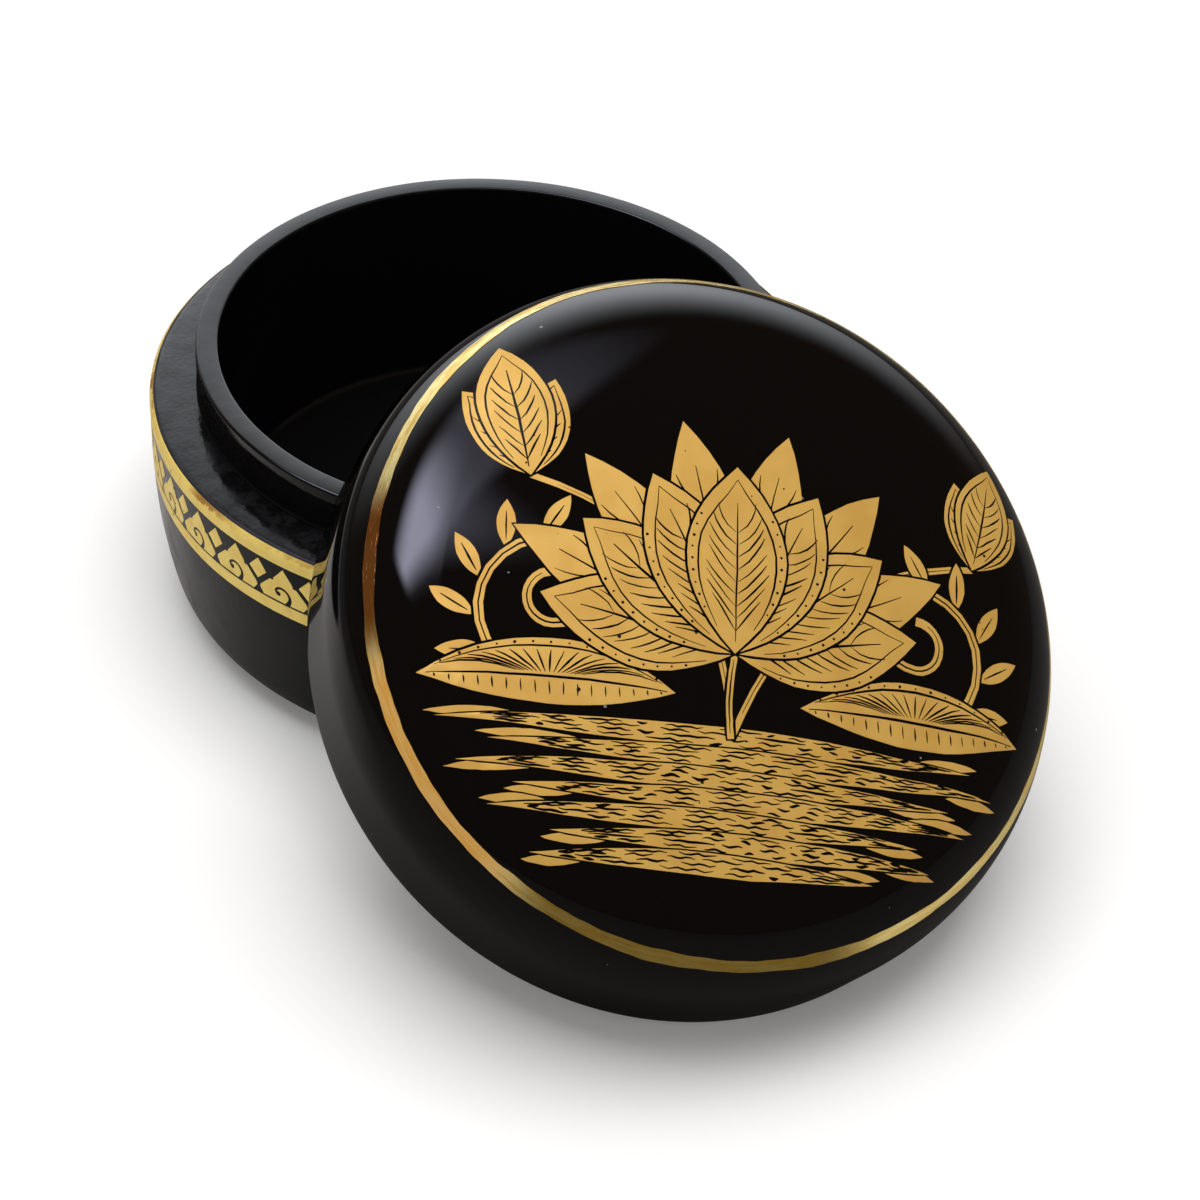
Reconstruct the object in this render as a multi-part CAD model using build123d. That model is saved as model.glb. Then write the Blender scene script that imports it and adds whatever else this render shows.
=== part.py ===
from build123d import *
import math
import os

os.makedirs("parts", exist_ok=True)

# Millimetres. The origin is the centre of the box's flat foot, Z is up, and the lid leans towards -Y.

# Box wall
body_radius = 60.0             # the upright part of the side
shoulder_height = 41.8         # flat ledge that carries the closed lid
shoulder_edge_radius = 1.6     # rolled outer corner of the ledge
upright_from_height = 29.0     # below this the side starts to draw in
side_curve_radius = 100.0      # slow curve of the lower side
foot_corner_radius = 10.5      # turn from the side to the foot

# Bottom board, a disc with a stepped edge, let into the wall from above
board_thickness = 9.5
board_step_height = 4.0        # thickness of its lower, narrower part
foot_land = 2.3                # flat ring of the wall that shows round the board, underneath

# Neck
shoulder_width = 8.3           # from the neck to the upright side
neck_wall = 3.9
neck_rise = 8.6                # above the shoulder
neck_edge_radius = 0.9
glue_line = 0.08               # between glued round faces

# Lid
lid_side_inset = 0.5           # from the box's upright side to the lid's
lid_clearance = 0.5            # between the lid's bore and the neck
lid_height = 36.4              # rim to the top of the dome
lid_corner_radius = 18.6       # turn from the side to the dome, outside
lid_corner_height = 13.6       # the side is upright up to here
lid_inner_corner_radius = 10.6
crown_thickness = 7.8          # at the middle
rim_outer_edge_radius = 1.0
rim_inner_edge_radius = 0.8

# Gold on the lid
ring_slope = 52.5              # degrees from the lid's axis to the middle of the gold line
ring_width = 2.3
picture_turn = -24.0           # degrees about the lid's axis

# Gold picture on the lid: a water lily between two buds, scrolls and floating leaves
picture_margin = 1.5           # from the gold line to the round field that holds the picture
picture_line = 0.45            # black line between shapes
flower_base = (-1.0, -11.0)
flower_height = 38.0
bud_inset = 1.0                # from the field's edge to the tips of the buds
left_bud_angle = 136.0         # direction of its tip, counterclockwise from the picture's right
left_bud_height = 23.0
left_bud_lean = -12.0          # degrees, clockwise
right_bud_angle = 33.0
right_bud_height = 20.0
right_bud_lean = 14.0
stem_width = 1.0
pad_inset = 2.5                # from the field's edge to the outer ends of the floating leaves
pad_length = 38.0
pad_height = 10.0
pad_lift = 6.0                 # of the floating leaves above the uppermost ripple
scroll_size = 22.0
water_height = -24.0           # uppermost ripple
water_inset = 6.0              # from the field's edge to the ends of the ripples
ripple_width = 3.3
ripple_spacing = 3.1
ripple_shift = 3.0
ripple_count = 7

# Gold on the box
top_line_drop = 0.6            # from the shoulder to the line's upper edge
top_line_width = 2.6
petal_height = 7.1
petal_count = 36
petal_gap = 0.65               # between neighbours
petal_tip_gap = 0.6            # black above the tips
petal_foot_gap = 0.4           # thin black line under the petals
low_line_width = 2.3
curl_radius = 1.25
curl_width = 0.4
curl_eye_radius = 0.42

# Gold layer
leaf_gap = 0.05                # coat of lacquer that holds the gold
leaf_thickness = 0.15

# The lid at rest: tilted, with its low edge on the table and its rim against the neck
lid_tilt = 31.7                # degrees
rest_clearance = 0.3

# Worked out from the sizes above
neck_radius = body_radius - shoulder_width
neck_bore = neck_radius - neck_wall
neck_top = shoulder_height + neck_rise
lid_radius = body_radius - lid_side_inset
lid_bore = neck_radius + lid_clearance
top_line_foot = shoulder_height - top_line_drop - top_line_width
petal_foot = top_line_foot - petal_tip_gap - petal_height
low_line_top = petal_foot - petal_foot_gap
side_drop = math.asin((upright_from_height - foot_corner_radius) / (side_curve_radius - foot_corner_radius))
side_centre = body_radius - side_curve_radius
foot_flat_radius = side_centre + (side_curve_radius - foot_corner_radius) * math.cos(side_drop)
board_foot_radius = foot_flat_radius - foot_land
seam_height = lid_corner_height + lid_corner_radius * math.cos(math.radians(ring_slope))
ring_half_angle = math.degrees(ring_width / 2 / lid_corner_radius)
ring_inner_slope = math.radians(ring_slope - ring_half_angle)
field_radius = lid_radius - lid_corner_radius * (1 - math.sin(ring_inner_slope)) - picture_margin


def turned(outline):
    # Solid turned about the Z axis; the outline is drawn as radius and height
    return revolve(Plane.XZ * make_face(outline), Axis.Z)


def body_outline(grown=0.0):
    # Outer side of the box from the foot to the shoulder, moved outwards by grown
    drop = math.degrees(side_drop)
    foot_centre = (foot_flat_radius, foot_corner_radius)
    edge_centre = (body_radius - shoulder_edge_radius, shoulder_height - shoulder_edge_radius)
    foot_turn = CenterArc(foot_centre, foot_corner_radius + grown, -90, 90 - drop)
    side_turn = CenterArc((side_centre, upright_from_height), side_curve_radius + grown, -drop, drop)
    edge_turn = CenterArc(edge_centre, shoulder_edge_radius + grown, 0, 90)
    upright = Line(side_turn @ 1, edge_turn @ 0)
    return [foot_turn, side_turn, upright, edge_turn]


def body_blank(grown=0.0):
    # The box's outer shape as one solid up to the shoulder
    side = body_outline(grown)
    low, high = side[0] @ 0, side[-1] @ 1
    return turned(side + [Polyline(high, (0, high.Y), (0, low.Y), low)])


def dome_outline(radius, corner_radius, corner_height, height):
    # Upright side, round corner and dome, all tangent, from the rim plane to the axis
    across = radius - corner_radius
    rise = corner_height - height
    dome_radius = (corner_radius**2 - across**2 - rise**2) / (2 * (rise + corner_radius))
    slope = math.degrees(math.asin(across / (dome_radius - corner_radius)))
    corner = CenterArc((across, corner_height), corner_radius, 0, 90 - slope)
    dome = CenterArc((0, height - dome_radius), dome_radius, 90 - slope, slope)
    return [Line((radius, 0), (radius, corner_height)), corner, dome]


def dome_blank(radius, corner_radius, corner_height, height):
    # The domed shape filled down to the rim plane
    top = dome_outline(radius, corner_radius, corner_height, height)
    return turned(top + [Polyline((0, height), (0, 0), (radius, 0))])


def lid_blank(grown=0.0):
    return dome_blank(lid_radius + grown, lid_corner_radius + grown, lid_corner_height, lid_height + grown)


def rim_gap(reach):
    # Least gap between the rim's inner edge and the neck's outer edge when the lid's axis meets its
    # rim plane at reach from the box's axis; both edges are round
    samples = 720
    gaps = []
    for step in range(samples):
        angle = math.pi * step / samples
        away = (neck_radius - neck_edge_radius) * math.cos(angle) - reach
        aside = (neck_radius - neck_edge_radius) * math.sin(angle)
        up = neck_top - neck_edge_radius - lid_rest_height
        down_slope = away * math.cos(tilt_angle) - up * math.sin(tilt_angle)
        depth = away * math.sin(tilt_angle) + up * math.cos(tilt_angle)
        inside = lid_bore + rim_inner_edge_radius - math.hypot(down_slope, aside)
        below = rim_inner_edge_radius - depth
        clear = math.hypot(max(inside, 0), max(below, 0)) + min(max(inside, below), 0)
        gaps.append(clear - rim_inner_edge_radius - neck_edge_radius)
    return min(gaps)


def rest_reach():
    # How far out the lid stands when its rim just clears the neck
    near, far = 0.0, body_radius + lid_radius
    finest_step = 0.001
    while far - near > finest_step:
        middle = (near + far) / 2
        if rim_gap(middle) < rest_clearance:
            near = middle
        else:
            far = middle
    return far


tilt_angle = math.radians(lid_tilt)
low_edge_rise = (lid_radius - rim_outer_edge_radius) * math.sin(tilt_angle)
lid_rest_height = low_edge_rise + rim_outer_edge_radius * (1 - math.cos(tilt_angle))
lid_reach = rest_reach()
lid_at_rest = Pos(0, -lid_reach, lid_rest_height) * Rot(lid_tilt, 0, 0)


def upright_disc(radius, low, high):
    return Pos(0, 0, (low + high) / 2) * Cylinder(radius, high - low)


def box_wall():
    hollow = upright_disc(neck_radius + glue_line, board_step_height, shoulder_height)
    hole = upright_disc(board_foot_radius + glue_line, 0, board_step_height)
    return body_blank() - hollow - hole


def bottom_board():
    upper = upright_disc(neck_radius, board_step_height, board_thickness)
    lower = upright_disc(board_foot_radius, 0, board_step_height)
    return upper + lower


def neck_ring():
    ring = upright_disc(neck_radius, board_thickness, neck_top)
    ring -= upright_disc(neck_bore, board_thickness, neck_top)
    top_edges = ring.edges().filter_by(GeomType.CIRCLE).group_by(Axis.Z)[-1]
    return fillet(top_edges, neck_edge_radius)


def lid_shell():
    hollow = dome_blank(lid_bore, lid_inner_corner_radius, lid_corner_height, lid_height - crown_thickness)
    shell = lid_blank() - hollow
    rim_edges = shell.edges().filter_by(GeomType.CIRCLE).group_by(Axis.Z)[0].sort_by(SortBy.RADIUS)
    shell = fillet(rim_edges[0], rim_inner_edge_radius)
    rim_edges = shell.edges().filter_by(GeomType.CIRCLE).group_by(Axis.Z)[0].sort_by(SortBy.RADIUS)
    return fillet(rim_edges[-1], rim_outer_edge_radius)


def lid_line():
    # Gold line on the round corner of the lid
    start = 90 - ring_slope - ring_half_angle
    centre = (lid_radius - lid_corner_radius, lid_corner_height)
    inner = CenterArc(centre, lid_corner_radius + leaf_gap, start, 2 * ring_half_angle)
    outer = CenterArc(centre, lid_corner_radius + leaf_gap + leaf_thickness, start, 2 * ring_half_angle)
    return turned([inner, outer, Line(inner @ 0, outer @ 0), Line(inner @ 1, outer @ 1)])


def body_gold(low, high):
    # Gold layer on the box's side between two heights
    layer = body_blank(leaf_gap + leaf_thickness) - body_blank(leaf_gap)
    return layer & upright_disc(2 * body_radius, low, high)


def petal(pitch):
    # One petal of the ornament, its foot on the X axis: a flame-like head over two round cheeks
    half = (pitch - petal_gap) / 2
    height = petal_height
    head_side = (0.19 * pitch, 0.62 * height)
    notch = (0.17 * pitch, 0.53 * height)
    cheek_top = (0.25 * pitch, 0.56 * height)
    cheek_side = (half, 0.20 * height)
    foot = (half - 0.06 * pitch, 0)
    side = [
        SagittaArc((0, height), head_side, -0.02 * height),
        Line(head_side, notch),
        Line(notch, cheek_top),
        SagittaArc(cheek_top, cheek_side, 0.035 * height),
        SagittaArc(cheek_side, foot, 0.03 * height),
        Polyline(foot, (0, 0), (0, height)),
    ]
    right = make_face(side)
    return right + mirror(right, about=Plane.YZ)


def curl():
    # Black stroke left free in a petal: it rises from the foot and rolls over to the left, into an eye
    outer = curl_radius + curl_width / 2
    inner = curl_radius - curl_width / 2
    centre = (0.1, petal_height * 0.2)
    start, turn = -40, 215
    arcs = [CenterArc(centre, outer, start, turn), CenterArc(centre, inner, start, turn)]
    roll = make_face(arcs + [Line(arcs[0] @ 0, arcs[1] @ 0), Line(arcs[0] @ 1, arcs[1] @ 1)])
    eye = Pos((arcs[1] @ 1) + Vector(curl_eye_radius / 2, 0)) * Circle(curl_eye_radius)
    below = -petal_foot_gap
    foot = Polyline(arcs[0] @ 0, arcs[1] @ 0, (0.2 * curl_radius, below), (curl_radius, below), close=True)
    return roll + eye + make_face(foot)


def lozenge(pitch):
    # Fills the space between two petals, from the height of their heads down to their cheeks
    top = (0, petal_height)
    right = (0.185 * pitch, 0.66 * petal_height)
    bottom = (0, 0.37 * petal_height)
    left = (-0.195 * pitch, 0.65 * petal_height)
    sink = -0.02 * petal_height
    upper_sides = [SagittaArc(top, right, sink), SagittaArc(left, top, sink)]
    return make_face(upper_sides + [Polyline(right, bottom, left)])


def ornament():
    pitch = 2 * math.pi * body_radius / petal_count
    motif = petal(pitch) - curl() + Pos(pitch / 2, 0) * lozenge(pitch)
    wall_face = Plane(origin=(0, 0, petal_foot), x_dir=(0, 1, 0), z_dir=(1, 0, 0))
    piece = extrude(wall_face * motif, 2 * body_radius) & body_gold(0, shoulder_height)
    return Part(children=[Rot(0, 0, 360 * step / petal_count) * piece for step in range(petal_count)])


def leaf_shape(length, width, turn=0.0, base=(0, 0)):
    # Pointed oval from its base upwards, turned clockwise by turn
    left_side = SagittaArc((0, 0), (0, length), width / 2)
    right_side = SagittaArc((0, length), (0, 0), width / 2)
    return Pos(*base) * Rot(0, 0, -turn) * make_face([left_side, right_side])


def stroke(start, end, bulge, width):
    # Curved line of even width; bulge is how far its middle stands to the left of the straight way
    return trace(SagittaArc(start, end, bulge), width)


def flower():
    # Petals from front to back: (length, width, turn)
    front = [(flower_height * 0.80, flower_height * 0.42, 0)]
    for turn in (26, 52, 78):
        front += [(flower_height * 0.80, flower_height * 0.36, side * turn) for side in (-1, 1)]
    back = [(flower_height, flower_height * 0.30, side * turn) for turn in (13, 39, 64) for side in (-1, 1)]
    return [leaf_shape(length, width, turn, flower_base) for length, width, turn in front + back]


def field_half(y):
    # Half the width of the round field at a height
    return math.sqrt(field_radius**2 - y**2)


def bud_base(angle, height, lean):
    # Where a bud starts when its tip points to the field's edge
    tip = Vector(field_radius - bud_inset, 0).rotate(Axis.Z, angle)
    foot = tip - Vector(0, height).rotate(Axis.Z, -lean)
    return (foot.X, foot.Y)


def bud(base, height, lean):
    # Closed flower: a full middle petal between two sepals
    sepals = [leaf_shape(height * 0.75, height * 0.34, lean + side * 24, base) for side in (-1, 1)]
    return [leaf_shape(height, height * 0.5, lean, base)] + sepals


def pad(centre, length, height):
    # Round floating leaf seen from the side
    x, y = centre
    low = SagittaArc((x - length / 2, y), (x + length / 2, y), -height * 0.35)
    high = SagittaArc((x + length / 2, y), (x - length / 2, y), -height * 0.65)
    return make_face([low, high])


def scroll(size):
    # Stem that winds in on itself, with small leaves along its back; it starts at the origin and goes right
    radius = size / 2
    middle = radius * 0.6
    inner = radius * 0.36
    turn_in = 2 * radius - 2 * middle
    arcs = [
        SagittaArc((0, 0), (0, 2 * radius), -radius),
        SagittaArc((0, 2 * radius), (0, turn_in), -middle),
        SagittaArc((0, turn_in), (0, turn_in + 2 * inner), -inner),
    ]
    leaves = []
    for angle in range(-40, 110, 30):
        reach = radius + stem_width / 2
        foot = (reach * math.cos(math.radians(angle)), radius + reach * math.sin(math.radians(angle)))
        leaves.append(leaf_shape(size * 0.36, size * 0.13, 50 - angle, foot))
    return [trace(arcs, 1.4 * stem_width)] + leaves


def water():
    # Long low ripples, each a lens that lies flat, as long as the field is wide there
    ripples = []
    for step in range(ripple_count):
        shift = ripple_shift * (1 if step % 2 else -1)
        y = water_height - ripple_spacing * step
        length = 2 * (field_half(y) - water_inset)
        ripples.append(leaf_shape(length, ripple_width, 90, (shift - length / 2, y)))
    return ripples


def picture_parts():
    # Front to back: each shape hides what lies behind it, with a black line left between
    root = (flower_base[0], water_height)
    pad_middle = water_height + pad_lift
    pad_reach = field_half(pad_middle) - pad_inset - pad_length / 2
    left_bud_base = bud_base(left_bud_angle, left_bud_height, left_bud_lean)
    right_bud_base = bud_base(right_bud_angle, right_bud_height, right_bud_lean)
    shapes = flower()
    shapes += bud(left_bud_base, left_bud_height, left_bud_lean)
    shapes += bud(right_bud_base, right_bud_height, right_bud_lean)
    shapes += [pad((side * pad_reach, pad_middle), pad_length, pad_height) for side in (-1, 1)]
    right_scroll = [Pos(pad_reach, pad_middle) * piece for piece in scroll(scroll_size)]
    shapes += right_scroll + [mirror(piece, about=Plane.YZ) for piece in right_scroll]
    shapes.append(stroke(root, flower_base, 0.6, stem_width))
    shapes.append(stroke(root, left_bud_base, -9, stem_width))
    shapes.append(stroke(root, right_bud_base, 8, stem_width))
    return shapes + water()


def lid_picture():
    pieces = []
    taken = None
    for shape in picture_parts():
        pieces.append(shape if taken is None else shape - taken)
        edge = offset(shape, picture_line)
        taken = edge if taken is None else taken + edge
    drawing = Rot(0, 0, picture_turn) * Sketch(children=pieces)
    layer = lid_blank(leaf_gap + leaf_thickness) - lid_blank(leaf_gap)
    return extrude(Pos(0, 0, seam_height) * drawing, lid_height) & layer


whole_lid = lid_shell()
above_seam = Plane.XY.offset(seam_height)
nodes = {
    "box_wall": box_wall(),
    "bottom_board": bottom_board(),
    "neck_ring": neck_ring(),
    "band_top_line": body_gold(top_line_foot, shoulder_height - top_line_drop),
    "band_ornament": ornament(),
    "band_low_line": body_gold(low_line_top - low_line_width, low_line_top),
    "lid_hoop": lid_at_rest * split(whole_lid, bisect_by=above_seam, keep=Keep.BOTTOM),
    "lid_crown": lid_at_rest * split(whole_lid, bisect_by=above_seam, keep=Keep.TOP),
    "lid_line": lid_at_rest * lid_line(),
    "lid_picture": lid_at_rest * lid_picture(),
}
for name, piece in nodes.items():
    export_step(piece, os.path.join("parts", name + ".step"))
print("lid stands", round(lid_reach, 2), "mm out and", round(lid_rest_height, 2), "mm up")
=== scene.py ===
import math
import random

import bpy
import numpy as np
from mathutils import Matrix, Vector, geometry, noise


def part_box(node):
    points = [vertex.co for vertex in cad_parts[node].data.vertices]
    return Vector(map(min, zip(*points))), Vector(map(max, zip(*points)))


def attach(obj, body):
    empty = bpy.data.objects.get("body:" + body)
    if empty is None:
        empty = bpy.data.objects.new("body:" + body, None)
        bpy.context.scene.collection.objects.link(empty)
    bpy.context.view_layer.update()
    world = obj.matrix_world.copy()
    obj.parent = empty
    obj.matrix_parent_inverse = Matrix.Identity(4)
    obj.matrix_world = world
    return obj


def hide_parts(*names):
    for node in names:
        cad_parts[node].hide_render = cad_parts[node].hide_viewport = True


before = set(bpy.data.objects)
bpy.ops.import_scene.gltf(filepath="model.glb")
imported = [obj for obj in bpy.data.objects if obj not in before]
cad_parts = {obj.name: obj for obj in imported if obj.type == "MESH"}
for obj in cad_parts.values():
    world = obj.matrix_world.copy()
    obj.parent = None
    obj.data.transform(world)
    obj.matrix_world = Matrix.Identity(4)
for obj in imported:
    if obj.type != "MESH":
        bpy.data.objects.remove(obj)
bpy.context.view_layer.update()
mm = 0.001
scene = bpy.context.scene
print("frame loaded:", len(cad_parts), "nodes")


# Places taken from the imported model

def nodePoints(name):
    return np.array([vertex.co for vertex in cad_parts[name].data.vertices], float)


def lidFrame():
    # The lid's axis is square to the gold line that goes round it, and has no sideways part
    line = nodePoints("lid_line")
    axis = np.linalg.svd(line - line.mean(0))[2][2]
    axis = axis * [0, 1, 1] * np.sign(axis[2])
    axis = axis / np.linalg.norm(axis)
    back = np.array([0, axis[2], -axis[1]])
    hoop = nodePoints("lid_hoop")
    middle = ((hoop @ back).min() + (hoop @ back).max()) / 2
    rim = (hoop @ axis).min()
    return Vector(back * middle + axis * rim), Vector(axis)


lidCentre, lidAxis = lidFrame()
lidTilt = math.atan2(-lidAxis.y, lidAxis.z)
rimPlace = [round(part / mm, 3) for part in lidCentre]
print("lid leans", round(math.degrees(lidTilt), 3), "degrees, its rim centre at", rimPlace)
lidPlace = Matrix.Translation((0, lidCentre.y, lidCentre.z)) @ Matrix.Rotation(lidTilt, 4, "X")
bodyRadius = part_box("box_wall")[1].x / mm
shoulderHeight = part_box("box_wall")[1].z / mm
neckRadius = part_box("neck_ring")[1].x / mm
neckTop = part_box("neck_ring")[1].z / mm
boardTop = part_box("bottom_board")[1].z / mm


# Tools for shaping

weldDistance = 0.01 * mm
smoothAngle = math.radians(40)
hollowsRadius = 60  # mm, where the spacing of hollows is true
calmRadius = 10  # mm, inside it nothing sinks


def clearSelection():
    if bpy.context.object and bpy.context.object.mode != "OBJECT":
        bpy.ops.object.mode_set(mode="OBJECT")
    bpy.ops.object.select_all(action="DESELECT")


def pickOnly(piece):
    clearSelection()
    piece.select_set(True)
    bpy.context.view_layer.objects.active = piece


def arcPoints(centre, radius, start, turn, steps):
    # Points of an arc, angles in degrees
    points = []
    for step in range(steps + 1):
        angle = math.radians(start + turn * step / steps)
        points.append((centre[0] + radius * math.cos(angle), centre[1] + radius * math.sin(angle)))
    return points


def turnOnLathe(name, profile, steps=256):
    # The profile (radius, height) is drawn by extruding one point, then spun about the Z axis
    clearSelection()
    first = profile[0]
    bpy.ops.mesh.primitive_plane_add(size=mm, location=(first[0] * mm, 0, first[1] * mm))
    piece = bpy.context.object
    piece.name = name
    bpy.ops.object.transform_apply(location=True, rotation=False, scale=False)
    bpy.ops.object.mode_set(mode="EDIT")
    bpy.ops.mesh.select_all(action="SELECT")
    bpy.ops.mesh.merge(type="CENTER")
    last = first
    for point in profile[1:]:
        step = ((point[0] - last[0]) * mm, 0, (point[1] - last[1]) * mm)
        bpy.ops.mesh.extrude_region_move(TRANSFORM_OT_translate={"value": step})
        last = point
    bpy.ops.mesh.select_all(action="SELECT")
    bpy.ops.mesh.spin(steps=steps, angle=2 * math.pi, center=(0, 0, 0), axis=(0, 0, 1))
    bpy.ops.mesh.select_all(action="SELECT")
    bpy.ops.mesh.remove_doubles(threshold=weldDistance)
    bpy.ops.mesh.normals_make_consistent(inside=False)
    bpy.ops.object.mode_set(mode="OBJECT")
    bpy.ops.object.shade_smooth_by_angle(angle=smoothAngle)
    return piece


def layByHand(piece, depth, spacing):
    # Slow hollows: the surface sinks a little towards the box's axis, and the gold sinks with it
    for vertex in piece.data.vertices:
        reach = math.hypot(vertex.co.x, vertex.co.y)
        if reach > calmRadius * mm:
            high = vertex.co.z / (hollowsRadius * mm)
            place = Vector((vertex.co.x / reach, vertex.co.y / reach, high))
            hollow = depth * mm * (0.5 + 0.5 * noise.noise(place * hollowsRadius / spacing))
            vertex.co.x *= 1 - hollow / reach
            vertex.co.y *= 1 - hollow / reach
    piece.data.update()


def moveMesh(piece, matrix):
    piece.data.transform(matrix)
    piece.data.update()


def handIn(piece, body, slot, material, *nodes):
    piece.data.materials.clear()
    piece.data.materials.append(material)
    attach(piece, body)
    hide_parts(*nodes)
    print("piece", piece.name, "has", len(piece.data.polygons), "faces")


# Tools for materials

def node(tree, kind, **values):
    made = tree.nodes.new(kind)
    for key, value in values.items():
        setattr(made, key, value)
    return made


def feed(made, name, value):
    # A number is typed in, another node's output is linked
    if isinstance(value, bpy.types.NodeSocket):
        made.id_data.links.new(value, made.inputs[name])
    else:
        made.inputs[name].default_value = value


def reckon(tree, operation, first, second=0.0):
    made = node(tree, "ShaderNodeMath", operation=operation)
    feed(made, 0, first)
    feed(made, 1, second)
    return made.outputs[0]


def times(tree, first, second):
    return reckon(tree, "MULTIPLY", first, second)


def plus(tree, first, second):
    return reckon(tree, "ADD", first, second)


def ramp(tree, value, start, end, low=0.0, high=1.0, kind="SMOOTHSTEP"):
    # Turns value into low at start and high at end
    made = node(tree, "ShaderNodeMapRange", interpolation_type=kind)
    feed(made, "Value", value)
    for label, number in (("From Min", start), ("From Max", end), ("To Min", low), ("To Max", high)):
        feed(made, label, number)
    return made.outputs[0]


def blend(tree, share, first, second):
    # Mixes two colours
    made = node(tree, "ShaderNodeMix", data_type="RGBA")
    feed(made, "Factor", share)
    feed(made, "A", first)
    feed(made, "B", second)
    return made.outputs["Result"]


def within(tree, *edges):
    # 1 where every value is past its edge, which goes from none to all
    share = 1.0
    for value, (start, end) in edges:
        share = times(tree, ramp(tree, value, start, end), share)
    return share


def objectPlace(tree):
    # X, Y and Z of the spot on the piece
    coords = node(tree, "ShaderNodeTexCoord")
    split = node(tree, "ShaderNodeSeparateXYZ")
    feed(split, 0, coords.outputs["Object"])
    return split.outputs


def newMaterial(name):
    material = bpy.data.materials.new(name)
    material.use_nodes = True
    tree = material.node_tree
    return material, tree, tree.nodes["Principled BSDF"]


def newGroup(name, inputs, outputs):
    group = bpy.data.node_groups.new(name, "ShaderNodeTree")
    for label, value in inputs.items():
        socket = group.interface.new_socket(label, in_out="INPUT", socket_type="NodeSocketFloat")
        socket.default_value = value
    for label in outputs:
        group.interface.new_socket(label, in_out="OUTPUT", socket_type="NodeSocketFloat")
    start = group.nodes.new("NodeGroupInput")
    end = group.nodes.new("NodeGroupOutput")
    return group, start, end


def placeGroup(tree, group, **values):
    made = tree.nodes.new("ShaderNodeGroup")
    made.node_tree = group
    for label, value in values.items():
        feed(made, label, value)
    return made


# Camera, floor and light

cameraSet = {
    "lens": 79.4,  # mm
    "sensor": 36,  # mm
    "near": 0.01,  # metres
    "place": (-169.3, -337.7, 319.5),  # mm
    "turn": (48.924, -3.268, -27.095),  # degrees
}


def addCamera():
    place = [value * mm for value in cameraSet["place"]]
    turn = [math.radians(value) for value in cameraSet["turn"]]
    bpy.ops.object.camera_add(location=place, rotation=turn)
    camera = bpy.context.object
    camera.data.lens = cameraSet["lens"]
    camera.data.sensor_width = cameraSet["sensor"]
    camera.data.clip_start = cameraSet["near"]
    scene.camera = camera


floorSet = {
    "size": 6.0,  # metres
    "white": (0.95, 0.95, 0.95, 1),  # as the camera sees it
    "mirrored": (0.62, 0.60, 0.59, 1),  # painted pool of light: the lit part of the floor, as the gloss of the lacquer shows it
    "paintedLightPlace": (-0.090, 0.130, 0),  # middle of that painted pool of light, behind the box on the left
    "paintedLightEdge": (0.215, 0.05),  # metres from there, from dark to lit
    "unlit": (0.115, 0.111, 0.108, 1),  # painted shade: the rest of the floor in the gloss
    "spot": (0.01, 0.01, 0.01, 1),  # painted shadow: a dark spot in the painted pool of light
    "paintedShadowPlace": (-0.135, 0.150, 0),
    "paintedShadowEdge": (0.088, 0.070),
    "glow": 0.09,  # lifts the sheet of paper to white
    "farGlow": (0.35, 1.3),  # metres out, from where to where the glow grows to full white
}


def rays(tree):
    # Every kind, then the camera's own, then those of lacquer mirrored in lacquer
    path = node(tree, "ShaderNodeLightPath").outputs
    seen = reckon(tree, "MAXIMUM", path["Is Camera Ray"], path["Is Transmission Ray"])
    return path, seen, reckon(tree, "GREATER_THAN", path["Glossy Depth"], 1.5)


def addFloor():
    clearSelection()
    bpy.ops.mesh.primitive_plane_add(size=floorSet["size"], location=(0, 0, 0))
    floor = bpy.context.object
    floor.name = "floor"
    material, tree, surface = newMaterial("paleFloor")
    feed(surface, "Roughness", 0.9)
    feed(surface, "Specular IOR Level", 0.0)
    path, seen, mirroredAgain = rays(tree)
    coords = node(tree, "ShaderNodeTexCoord")
    away = {}
    for place in ("paintedLightPlace", "paintedShadowPlace"):
        reach = node(tree, "ShaderNodeVectorMath", operation="DISTANCE")
        feed(reach, 0, coords.outputs["Object"])
        feed(reach, 1, floorSet[place])
        away[place] = reach.outputs["Value"]
    # Painted light in the floor's colour for glossy rays: a painted pool of light round one place,
    # painted shade elsewhere, and a painted shadow spot
    lit = ramp(tree, away["paintedLightPlace"], *floorSet["paintedLightEdge"])
    mirrored = blend(tree, lit, floorSet["unlit"], floorSet["mirrored"])
    dark = ramp(tree, away["paintedShadowPlace"], *floorSet["paintedShadowEdge"])
    mirrored = blend(tree, dark, mirrored, floorSet["spot"])
    # Painted shade: where lacquer is mirrored in lacquer, the floor shows its unlit colour
    mirrored = blend(tree, mirroredAgain, mirrored, floorSet["unlit"])
    matt = reckon(tree, "MAXIMUM", seen, path["Is Diffuse Ray"])
    feed(surface, "Base Color", blend(tree, matt, mirrored, floorSet["white"]))
    feed(surface, "Emission Color", (1, 1, 1, 1))
    out = node(tree, "ShaderNodeVectorMath", operation="LENGTH")
    feed(out, 0, coords.outputs["Object"])
    glow = ramp(tree, out.outputs["Value"], *floorSet["farGlow"], floorSet["glow"], 1.0)
    feed(surface, "Emission Strength", times(tree, seen, glow))
    floor.data.materials.append(material)


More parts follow.
